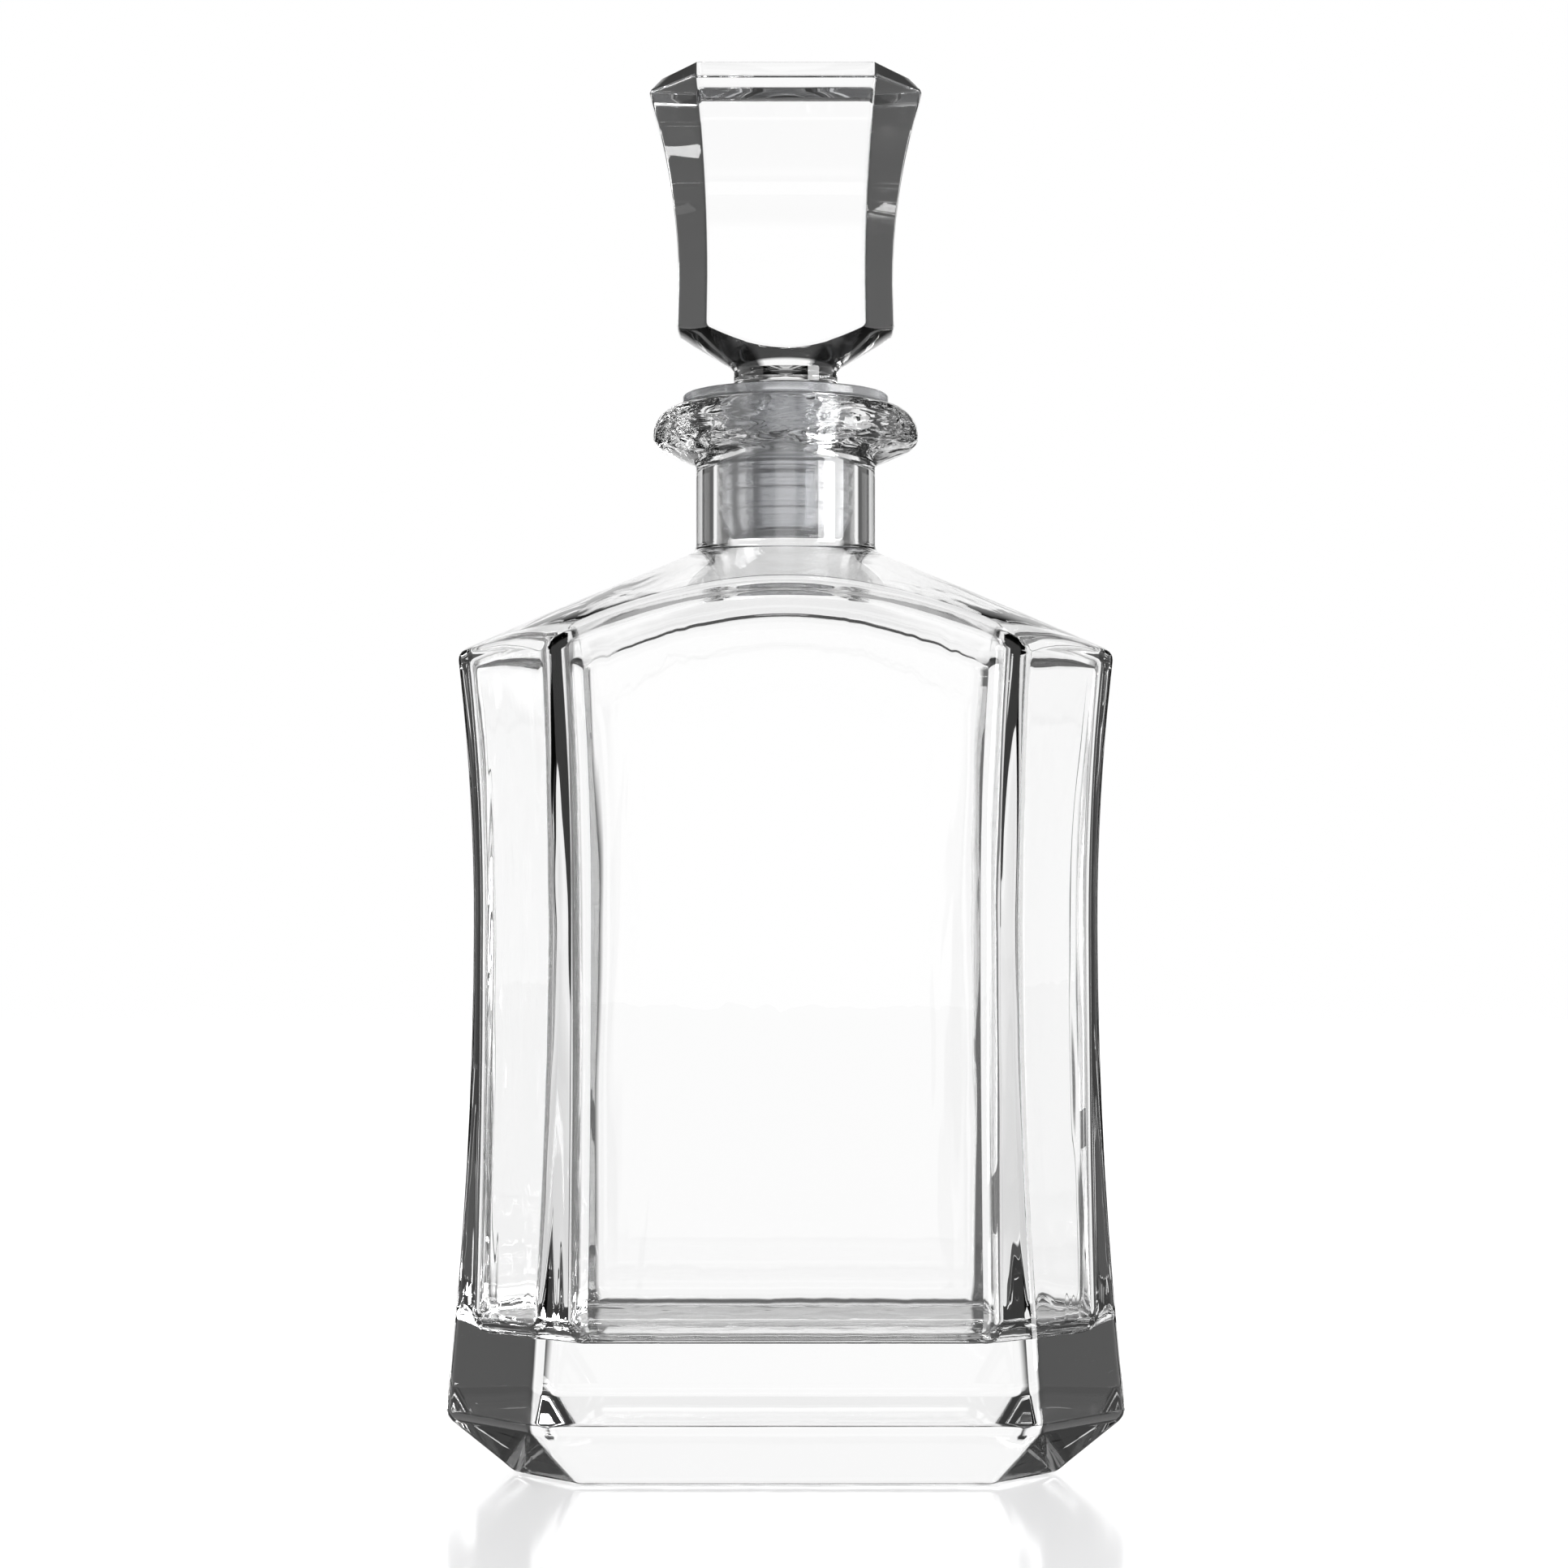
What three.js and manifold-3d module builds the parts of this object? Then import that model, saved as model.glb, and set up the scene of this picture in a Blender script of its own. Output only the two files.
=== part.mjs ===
// Stoppered decanter: a thick-walled, waisted glass bottle with chamfered corners, and a
// stopper made of a solid glass head whose peg sits in a clear plastic sealing sleeve.
// Millimetres, +Z up, front face towards -Y, origin at the middle of the underside.
import * as THREE from 'three';
import { mergeVertices } from 'three/addons/utils/BufferGeometryUtils.js';
import Module from 'manifold-3d';

const wasm = await Module();
wasm.setup();

// Every plan is a rectangle with chamfered corners. A station gives one plan: its height,
// its width along X, its depth along Y, and the flat lengths left on its front and side.

// Bottle, outside.
const BASE = { height: 0, width: 95, depth: 52, front: 70.8, side: 24 };
const FOOT = { height: 10.6, width: 119, depth: 72, front: 86.2, side: 34 };
const WAIST = { height: 96, width: 109.6, depth: 68.4, front: 80, side: 36 };
const SHOULDER = { height: 144.2, width: 116, depth: 70, front: 83, side: 31 };
const SHOULDER_RISE = 19.4;
const SHOULDER_ROUNDNESS = 3.5;
const NECK_DIAMETER = 32.4;
const NECK_LENGTH = 15.6;
const NECK_FILLET = 1.6;
const LIP_DIAMETER = 48;
const LIP_HEIGHT = 10.8;
const LIP_CROWN_WIDTH = 5.1;
const LIP_CROWN_HEIGHT = 5.4;
const LIP_EDGE = 1.6;
const LIP_STEP = 1;
const RECESS_MARGIN = 5;
const RECESS_DEPTH = 1;

// Bottle, inside. A wall gives how far the cavity's plan stays inside the outer plan at the
// same height, on each side of each size.
const FOOT_WALL = { width: 8, depth: 5, front: 7, side: 4.5 };
const WAIST_WALL = { width: 3.3, depth: 3.8, front: 4.5, side: 4.5 };
const SHOULDER_WALL = { width: 3.5, depth: 3.9, front: 4.2, side: 3 };
const BASE_THICKNESS = 24.5;
const FLOOR_RADIUS = 4.5;
const SHOULDER_THICKNESS = 3.3;
const BORE_DIAMETER = 25;
const MOUTH_CHAMFER = 0.6;

// Sealing sleeve.
const PLUG_LENGTH = 25.6;
const PLUG_TIP_WIDTH = 2.2;
const PLUG_TIP_HEIGHT = 4.6;
const PLUG_FLOOR = 2.4;
const PLUG_WALL = 4.5;
const FIN_COUNT = 6;
const FIN_DEPTH = 0.5;
const FIN_THICKNESS = 1.4;
const FLANGE_THICKNESS = 1.8;
const FLANGE_MARGIN = 0.3;
const COLLAR_WALL = 2.4;
const COLLAR_HEIGHT = 1.2;

// Glass head of the stopper. Its stations are measured from the top of the sleeve.
const HEAD_NECK_STEP = 0.2;
const HEAD_NECK_HEIGHT = 3.4;
const HEAD_UNDERSIDE_SLOPE = 0.61;
const HEAD_ROOT = { height: 9.7, width: 39, depth: 26, front: 28.2, side: 11 };
const HEAD_WAIST = { height: 18.4, width: 38.6, depth: 25.8, front: 28, side: 11.2 };
const HEAD_RIM = { height: 53.4, width: 49.4, depth: 35, front: 31.8, side: 10.4 };
const HEAD_TOP = { height: 56.5, width: 44.4, depth: 30, front: 32, side: 5 };
const PEG_CHAMFER = 1.2;

// Clearances.
const SEAL_GAP = 0.3;
const SEAT_GAP = 0.3;
const PEG_GAP = 0.3;

// Fineness of the round and curved shapes.
const ROUND_SEGMENTS = 48;
const SIDE_STEPS = 6;
const ARC_STEPS = 5;
const SHOULDER_STEPS = 7;

// Heights and radii that follow from the sizes above.
const NECK_RADIUS = NECK_DIAMETER / 2;
const BORE_RADIUS = BORE_DIAMETER / 2;
const LIP_RADIUS = LIP_DIAMETER / 2;
const LAND_RADIUS = LIP_RADIUS - LIP_CROWN_WIDTH;
const NECK_ROOT = SHOULDER.height + SHOULDER_RISE;
const LIP_BOTTOM = NECK_ROOT + NECK_LENGTH;
const LIP_TOP = LIP_BOTTOM + LIP_HEIGHT;
const FLANGE_BOTTOM = LIP_TOP + SEAT_GAP;
const FLANGE_TOP = FLANGE_BOTTOM + FLANGE_THICKNESS;
const FLANGE_RADIUS = LAND_RADIUS - FLANGE_MARGIN;
const COLLAR_TOP = FLANGE_TOP + COLLAR_HEIGHT;
const PLUG_BOTTOM = FLANGE_BOTTOM - PLUG_LENGTH;
const FIN_RADIUS = BORE_RADIUS - SEAL_GAP;
const PLUG_RADIUS = FIN_RADIUS - FIN_DEPTH;
const CUP_RADIUS = PLUG_RADIUS - PLUG_WALL;
const CUP_FLOOR = PLUG_BOTTOM + PLUG_FLOOR;
const COLLAR_RADIUS = CUP_RADIUS + COLLAR_WALL;
const PEG_RADIUS = CUP_RADIUS - PEG_GAP;
const PEG_BOTTOM = CUP_FLOOR + PEG_GAP;
const HEAD_NECK_RADIUS = COLLAR_RADIUS - HEAD_NECK_STEP;
const HEAD_BOTTOM = COLLAR_TOP + SEAT_GAP;
const HEAD_CONE_ROOT = HEAD_BOTTOM + HEAD_NECK_HEIGHT;

const PLAN_SIZES = ['width', 'depth', 'front', 'side'];

// Closed meshes and solids.

function solid(geometry) {
  const bare = geometry.clone();
  bare.deleteAttribute('normal');
  bare.deleteAttribute('uv');
  const merged = mergeVertices(bare);
  const corners = merged.index.array;
  const kept = [];
  for (let i = 0; i < corners.length; i += 3) {
    const [a, b, c] = corners.slice(i, i + 3);
    if (a !== b && b !== c && c !== a) kept.push(a, b, c);
  }
  return new wasm.Manifold(new wasm.Mesh({
    numProp: 3,
    vertProperties: Float32Array.from(merged.attributes.position.array),
    triVerts: Uint32Array.from(kept),
  }));
}

function geometryOf(body) {
  const mesh = body.getMesh();
  const geometry = new THREE.BufferGeometry();
  geometry.setAttribute('position', new THREE.BufferAttribute(Float32Array.from(mesh.vertProperties), 3));
  geometry.setIndex(Array.from(mesh.triVerts));
  geometry.computeVertexNormals();
  return geometry;
}

// A closed skin over rings of points, each counter-clockwise from above, lowest ring first.
function loft(rings) {
  const count = rings[0].length;
  const index = [];
  for (let level = 0; level + 1 < rings.length; level += 1) {
    for (let j = 0; j < count; j += 1) {
      const k = (j + 1) % count;
      const low = level * count;
      const high = low + count;
      index.push(low + j, low + k, high + k, low + j, high + k, high + j);
    }
  }
  const top = (rings.length - 1) * count;
  for (let j = 1; j + 1 < count; j += 1) {
    index.push(0, j + 1, j);
    index.push(top, top + j, top + j + 1);
  }
  const geometry = new THREE.BufferGeometry();
  geometry.setAttribute('position', new THREE.Float32BufferAttribute(rings.flat(2), 3));
  geometry.setIndex(index);
  return solid(geometry);
}

// A solid of revolution about Z. The profile is [radius, height] points, bottom to top.
function turned(profile) {
  const points = profile.map(([radius, height]) => new THREE.Vector2(radius, height));
  return solid(new THREE.LatheGeometry(points, ROUND_SEGMENTS).rotateX(Math.PI / 2));
}

// Points of a quarter ellipse from angle 0 (full radius) to a right angle (full height).
function quarterArc(centreRadius, centreHeight, reach, rise) {
  const points = [];
  for (let i = 0; i <= ARC_STEPS; i += 1) {
    const angle = (Math.PI / 2) * (i / ARC_STEPS);
    points.push([centreRadius + reach * Math.cos(angle), centreHeight + rise * Math.sin(angle)]);
  }
  return points;
}

// Plans.

function octagon(plan, height) {
  const [w, d, f, s] = PLAN_SIZES.map((size) => plan[size] / 2);
  const corners = [[w, s], [f, d], [-f, d], [-w, s], [-w, -s], [-f, -d], [f, -d], [w, -s]];
  return corners.map(([x, y]) => [x, y, height]);
}

function plan(sizeOf) {
  return Object.fromEntries(PLAN_SIZES.map((size) => [size, sizeOf(size)]));
}

// A plan drawn in by a distance, with the flats shortened as parallel faces shorten them.
function drawnIn(outer, distance) {
  const flatLoss = 2 * distance * Math.tan(Math.PI / 8);
  return {
    width: outer.width - 2 * distance,
    depth: outer.depth - 2 * distance,
    front: outer.front - flatLoss,
    side: outer.side - flatLoss,
  };
}

function insideWall(station, wall) {
  return { height: station.height, ...plan((size) => station[size] - 2 * wall[size]) };
}

// The plan at a height: narrowest at the waist, flaring along a curve towards each end.
function flaredPlan(low, waist, high, height) {
  const end = height < waist.height ? low : high;
  const share = (height - waist.height) / (end.height - waist.height);
  return plan((size) => waist[size] + (end[size] - waist[size]) * share ** 2);
}

function evenHeights(from, to, steps) {
  return Array.from({ length: steps + 1 }, (_, i) => from + ((to - from) * i) / steps);
}

// The shoulder: its level curves are round at the neck and become the ellipse that passes
// through all eight corners of the shoulder plan. Its profile seen from the front is straight.

function shoulderEdge() {
  const [w, d, f, s] = PLAN_SIZES.map((size) => (SHOULDER[size] / 2) ** 2);
  const scale = f * s - d * w;
  return { a: Math.sqrt(scale / (s - d)), b: Math.sqrt(scale / (f - w)) };
}

const SHOULDER_EDGE = shoulderEdge();
const SHOULDER_REACH = SHOULDER_EDGE.a - NECK_RADIUS;
const SHOULDER_SLOPE = SHOULDER_RISE / SHOULDER_REACH;
const SHOULDER_OVERRUN = 1.2;

function shoulderRing(share, lowering) {
  const a = NECK_RADIUS + SHOULDER_REACH * share;
  const b = a - (SHOULDER_EDGE.a - SHOULDER_EDGE.b) * Math.min(share, 1) ** SHOULDER_ROUNDNESS;
  const height = NECK_ROOT - SHOULDER_RISE * share - lowering;
  return ellipse(a, b, height);
}

function ellipse(a, b, height) {
  return Array.from({ length: ROUND_SEGMENTS }, (_, i) => {
    const angle = (2 * Math.PI * (i + 0.5)) / ROUND_SEGMENTS;
    return [a * Math.cos(angle), b * Math.sin(angle), height];
  });
}

// Everything below the shoulder surface, or below a parallel surface under it.
function belowShoulder(thickness) {
  const lowering = thickness * Math.hypot(1, SHOULDER_SLOPE);
  const shares = evenHeights(0, 1, SHOULDER_STEPS).concat(SHOULDER_OVERRUN).reverse();
  const widest = SHOULDER_OVERRUN * SHOULDER_EDGE.a;
  const rings = shares.map((share) => shoulderRing(share, lowering));
  return loft([ellipse(widest, widest, BASE.height - 1), ellipse(widest, widest, SHOULDER.height / 2), ...rings]);
}

// Bottle.

function bottleBlock() {
  const heights = [
    ...evenHeights(FOOT.height, WAIST.height, SIDE_STEPS),
    ...evenHeights(WAIST.height, SHOULDER.height, SIDE_STEPS).slice(1),
    NECK_ROOT + 1,
  ];
  const sides = heights.map((height) => octagon(flaredPlan(FOOT, WAIST, SHOULDER, height), height));
  return loft([octagon(BASE, BASE.height), ...sides]).intersect(belowShoulder(0));
}

function neckAndLip() {
  const rimHeight = LIP_TOP - LIP_CROWN_HEIGHT;
  const edge = quarterArc(LIP_RADIUS - LIP_EDGE, -rimHeight, LIP_EDGE, LIP_EDGE);
  const underEdge = edge.map(([radius, height]) => [radius, -height]).reverse();
  const crown = quarterArc(LAND_RADIUS, rimHeight, LIP_CROWN_WIDTH, LIP_CROWN_HEIGHT).slice(1);
  const filletFoot = NECK_ROOT - SHOULDER_SLOPE * NECK_FILLET;
  return turned([
    [0, NECK_ROOT - NECK_LENGTH / 2],
    [BORE_RADIUS, NECK_ROOT - NECK_LENGTH / 2],
    [NECK_RADIUS + NECK_FILLET, filletFoot],
    [NECK_RADIUS + NECK_FILLET / 3, NECK_ROOT + NECK_FILLET / 3],
    [NECK_RADIUS, NECK_ROOT + NECK_FILLET],
    [NECK_RADIUS, LIP_BOTTOM],
    [NECK_RADIUS + LIP_STEP, LIP_BOTTOM + LIP_STEP],
    ...underEdge,
    ...crown,
    [0, LIP_TOP],
  ]);
}

function cavity() {
  const foot = insideWall(FOOT, FOOT_WALL);
  const waist = insideWall(WAIST, WAIST_WALL);
  const shoulder = insideWall(SHOULDER, SHOULDER_WALL);
  const planAt = (height) => flaredPlan(foot, waist, shoulder, height);
  const floorRings = quarterArc(0, 0, FLOOR_RADIUS, FLOOR_RADIUS).reverse().map(([x, y]) => {
    const height = BASE_THICKNESS + FLOOR_RADIUS - y;
    return octagon(drawnIn(planAt(height), FLOOR_RADIUS - x), height);
  });
  const floorTop = BASE_THICKNESS + FLOOR_RADIUS;
  const heights = [
    ...evenHeights(floorTop, WAIST.height, SIDE_STEPS).slice(1),
    ...evenHeights(WAIST.height, SHOULDER.height, SIDE_STEPS).slice(1),
    NECK_ROOT,
  ];
  const sides = heights.map((height) => octagon(planAt(height), height));
  return loft([...floorRings, ...sides]).intersect(belowShoulder(SHOULDER_THICKNESS));
}

function bore() {
  return turned([
    [0, SHOULDER.height],
    [BORE_RADIUS, SHOULDER.height],
    [BORE_RADIUS, LIP_TOP - MOUTH_CHAMFER],
    [BORE_RADIUS + 2 * MOUTH_CHAMFER, LIP_TOP + MOUTH_CHAMFER],
    [0, LIP_TOP + MOUTH_CHAMFER],
  ]);
}

function baseRecess() {
  const rim = drawnIn(BASE, RECESS_MARGIN);
  const ceiling = drawnIn(rim, RECESS_DEPTH);
  return loft([
    octagon(rim, BASE.height - RECESS_DEPTH),
    octagon(rim, BASE.height),
    octagon(ceiling, BASE.height + RECESS_DEPTH),
  ]);
}

function decanterBody() {
  return bottleBlock()
    .add(neckAndLip())
    .subtract(cavity().add(bore()))
    .subtract(baseRecess());
}

// Stopper.

function fins() {
  const lowest = PLUG_BOTTOM + PLUG_TIP_HEIGHT;
  const pitch = (FLANGE_BOTTOM - lowest) / FIN_COUNT;
  const points = [];
  for (let i = 0; i < FIN_COUNT; i += 1) {
    const root = lowest + pitch * (i + 0.5) - FIN_THICKNESS / 2;
    points.push(
      [PLUG_RADIUS, root],
      [FIN_RADIUS, root + FIN_THICKNESS / 4],
      [FIN_RADIUS, root + (3 * FIN_THICKNESS) / 4],
      [PLUG_RADIUS, root + FIN_THICKNESS],
    );
  }
  return points;
}

function stopperSleeve() {
  return turned([
    [0, PLUG_BOTTOM],
    [PLUG_RADIUS - PLUG_TIP_WIDTH, PLUG_BOTTOM],
    [PLUG_RADIUS, PLUG_BOTTOM + PLUG_TIP_HEIGHT],
    ...fins(),
    [PLUG_RADIUS, FLANGE_BOTTOM],
    [FLANGE_RADIUS, FLANGE_BOTTOM],
    [FLANGE_RADIUS, FLANGE_TOP],
    [COLLAR_RADIUS, FLANGE_TOP],
    [COLLAR_RADIUS, COLLAR_TOP],
    [CUP_RADIUS, COLLAR_TOP],
    [CUP_RADIUS, CUP_FLOOR],
    [0, CUP_FLOOR],
  ]);
}

function headSection(station) {
  return octagon(station, COLLAR_TOP + station.height);
}

function headBlock() {
  const [low, high] = [HEAD_ROOT.height, HEAD_RIM.height];
  const stations = [
    { ...HEAD_ROOT, height: 0 },
    HEAD_ROOT,
    HEAD_WAIST,
    ...evenHeights(HEAD_WAIST.height, high, SIDE_STEPS).slice(1).map((height) => (
      { height, ...flaredPlan({ ...HEAD_ROOT, height: low }, HEAD_WAIST, HEAD_RIM, height) }
    )),
    HEAD_TOP,
  ];
  return loft(stations.map(headSection));
}

function headCone() {
  const reach = HEAD_RIM.width;
  const crown = COLLAR_TOP + HEAD_TOP.height + 1;
  return turned([
    [0, HEAD_CONE_ROOT],
    [HEAD_NECK_RADIUS, HEAD_CONE_ROOT],
    [HEAD_NECK_RADIUS + reach, HEAD_CONE_ROOT + reach * HEAD_UNDERSIDE_SLOPE],
    [HEAD_NECK_RADIUS + reach, crown],
    [0, crown],
  ]);
}

function headNeckAndPeg() {
  const insideHead = HEAD_CONE_ROOT + HEAD_NECK_HEIGHT;
  return turned([
    [0, PEG_BOTTOM],
    [PEG_RADIUS - PEG_CHAMFER, PEG_BOTTOM],
    [PEG_RADIUS, PEG_BOTTOM + PEG_CHAMFER],
    [PEG_RADIUS, HEAD_BOTTOM],
    [HEAD_NECK_RADIUS, HEAD_BOTTOM],
    [HEAD_NECK_RADIUS, HEAD_CONE_ROOT],
    [PEG_RADIUS, insideHead],
    [0, insideHead],
  ]);
}

function stopperHead() {
  return headBlock().intersect(headCone()).add(headNeckAndPeg());
}

// The object.

const glass = new THREE.MeshStandardMaterial({ color: 0xe9eef0, roughness: 0.03, metalness: 0 });
const clearPlastic = new THREE.MeshStandardMaterial({ color: 0xc9cccd, roughness: 0.35, metalness: 0 });

function piece(name, body, material) {
  const mesh = new THREE.Mesh(geometryOf(body), material);
  mesh.name = name;
  return mesh;
}

const decanter = new THREE.Group();
decanter.add(piece('decanter_body', decanterBody(), glass));
decanter.add(piece('stopper_sleeve', stopperSleeve(), clearPlastic));
decanter.add(piece('stopper_head', stopperHead(), glass));

export default decanter;
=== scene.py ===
"""Visual model of a stoppered glass decanter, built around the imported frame.

The bottle, the glass head of the stopper and its plastic sleeve are each modelled afresh, in metres, in
the frame's own coordinates: +Z up, the front face towards -Y.
"""

import logging
import math
from collections.abc import Callable
from dataclasses import dataclass, replace
from enum import Enum

import bmesh
import bpy
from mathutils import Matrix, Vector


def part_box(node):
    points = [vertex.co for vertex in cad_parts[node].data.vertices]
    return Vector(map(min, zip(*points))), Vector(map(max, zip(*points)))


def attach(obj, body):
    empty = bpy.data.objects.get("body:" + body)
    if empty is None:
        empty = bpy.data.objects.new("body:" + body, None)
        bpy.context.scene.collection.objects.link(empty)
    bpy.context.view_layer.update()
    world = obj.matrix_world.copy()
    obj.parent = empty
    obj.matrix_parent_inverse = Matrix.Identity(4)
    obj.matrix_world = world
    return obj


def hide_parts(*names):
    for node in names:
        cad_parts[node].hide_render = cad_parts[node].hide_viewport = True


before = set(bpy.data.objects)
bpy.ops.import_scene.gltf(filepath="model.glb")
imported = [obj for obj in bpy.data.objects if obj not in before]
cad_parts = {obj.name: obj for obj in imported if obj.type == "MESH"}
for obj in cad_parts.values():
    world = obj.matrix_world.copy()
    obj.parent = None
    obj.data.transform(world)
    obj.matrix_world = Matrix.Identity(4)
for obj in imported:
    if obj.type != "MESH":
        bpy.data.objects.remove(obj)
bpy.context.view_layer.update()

LOG = logging.getLogger("decanter")
MM = 0.001
TOUCH = 0.01 * MM

Point = tuple[float, float]
Profile = list[Point]


# Outlines.


@dataclass(frozen=True)
class Plan:
    """A level cut through a faceted shape: a rectangle with chamfered corners.

    The front is the flat left on the long side, and the side is the flat left on the short one.
    """

    height: float
    width: float
    depth: float
    front: float
    side: float

    def blended(self, other: "Plan", share: float, height: float) -> "Plan":
        """Mixes this plan with another.

        Args:
            other: The plan that a share of 1 gives.
            share: How far to go towards the other plan.
            height: The height of the new plan.

        Returns:
            The mixed plan.
        """
        names = ("width", "depth", "front", "side")
        sizes = {n: getattr(self, n) + (getattr(other, n) - getattr(self, n)) * share for n in names}
        return Plan(height=height, **sizes)

    def drawn_in(self, distance: float, height: float) -> "Plan":
        """Moves every side inwards.

        Args:
            distance: How far each side moves.
            height: The height of the new plan.

        Returns:
            The smaller plan.
        """
        flat_loss = distance * math.tan(math.pi / 8)
        return self.at(height).less_wall(Plan(height, distance, distance, flat_loss, flat_loss))

    def at(self, height: float) -> "Plan":
        """Returns the same plan at another height."""
        return replace(self, height=height)

    def margin(self, x: float, y: float) -> float:
        """Measures how far inside the outline a place is.

        Args:
            x: The place across.
            y: The place from front to back.

        Returns:
            The distance to the nearest side, which is negative outside.
        """
        along, across = self.width / 2 - self.front / 2, self.depth / 2 - self.side / 2
        corner = (self.front / 2 - abs(x)) * across + (self.depth / 2 - abs(y)) * along
        return min(self.width / 2 - abs(x), self.depth / 2 - abs(y), corner / math.hypot(along, across))

    def less_wall(self, wall: "Plan") -> "Plan":
        """Takes a wall off both ends of each size.

        Args:
            wall: How thick the wall is, measured along each size.

        Returns:
            The smaller plan, at this plan's height.
        """
        return Plan(
            self.height,
            self.width - 2 * wall.width,
            self.depth - 2 * wall.depth,
            self.front - 2 * wall.front,
            self.side - 2 * wall.side,
        )


def flared(low: Plan, waist: Plan, high: Plan, height: float) -> Plan:
    """Gives the plan at a height of a shape that is narrowest at its waist.

    Args:
        low: The plan at the lower end.
        waist: The narrowest plan.
        high: The plan at the upper end.
        height: Where the wanted plan is.

    Returns:
        The plan there, on a curve that is upright at the waist.
    """
    end = low if height < waist.height else high
    share = (height - waist.height) / (end.height - waist.height)
    return waist.blended(end, share**2, height)


def steps(start: float, end: float, count: int) -> list[float]:
    """Returns evenly spaced numbers from start to end, both included."""
    return [start + (end - start) * i / count for i in range(count + 1)]


def arc(centre: Point, reach: float, rise: float, turn: tuple[float, float], count: int) -> Profile:
    """Gives the points of an elliptical arc in a profile.

    Args:
        centre: The radius and height of the arc's centre.
        reach: Its half size across.
        rise: Its half size upwards.
        turn: The angles in degrees where it starts and ends, counted from straight outwards.
        count: How many pieces it has.

    Returns:
        Points, each a radius and a height.
    """
    angles = [math.radians(a) for a in steps(turn[0], turn[1], count)]
    return [(centre[0] + reach * math.cos(a), centre[1] + rise * math.sin(a)) for a in angles]


def bend(start: Point, corner: Point, end: Point, count: int) -> Profile:
    """Rounds a corner of a profile with a smooth curve.

    Args:
        start: Where the curve leaves the first line.
        corner: Where the two lines would meet.
        end: Where the curve joins the second line.
        count: How many pieces it has.

    Returns:
        Points, each a radius and a height, both ends included.
    """
    curve = []
    for t in steps(0, 1, count):
        weights = ((1 - t) ** 2, 2 * t * (1 - t), t**2)
        radius = sum(w * p[0] for w, p in zip(weights, (start, corner, end)))
        height = sum(w * p[1] for w, p in zip(weights, (start, corner, end)))
        curve.append((radius, height))
    return curve


# Modelling.


class Pick(Enum):
    """What a selection in edit mode is made of."""

    VERTICES = "VERT"
    EDGES = "EDGE"
    FACES = "FACE"


@dataclass(frozen=True)
class Strips:
    """Into how many upright strips each flat of a faceted shape is cut."""

    front: int
    corner: int
    side: int

    def around(self) -> int:
        """Returns the number of strips all the way round."""
        return 2 * self.front + 4 * self.corner + 2 * self.side


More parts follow.
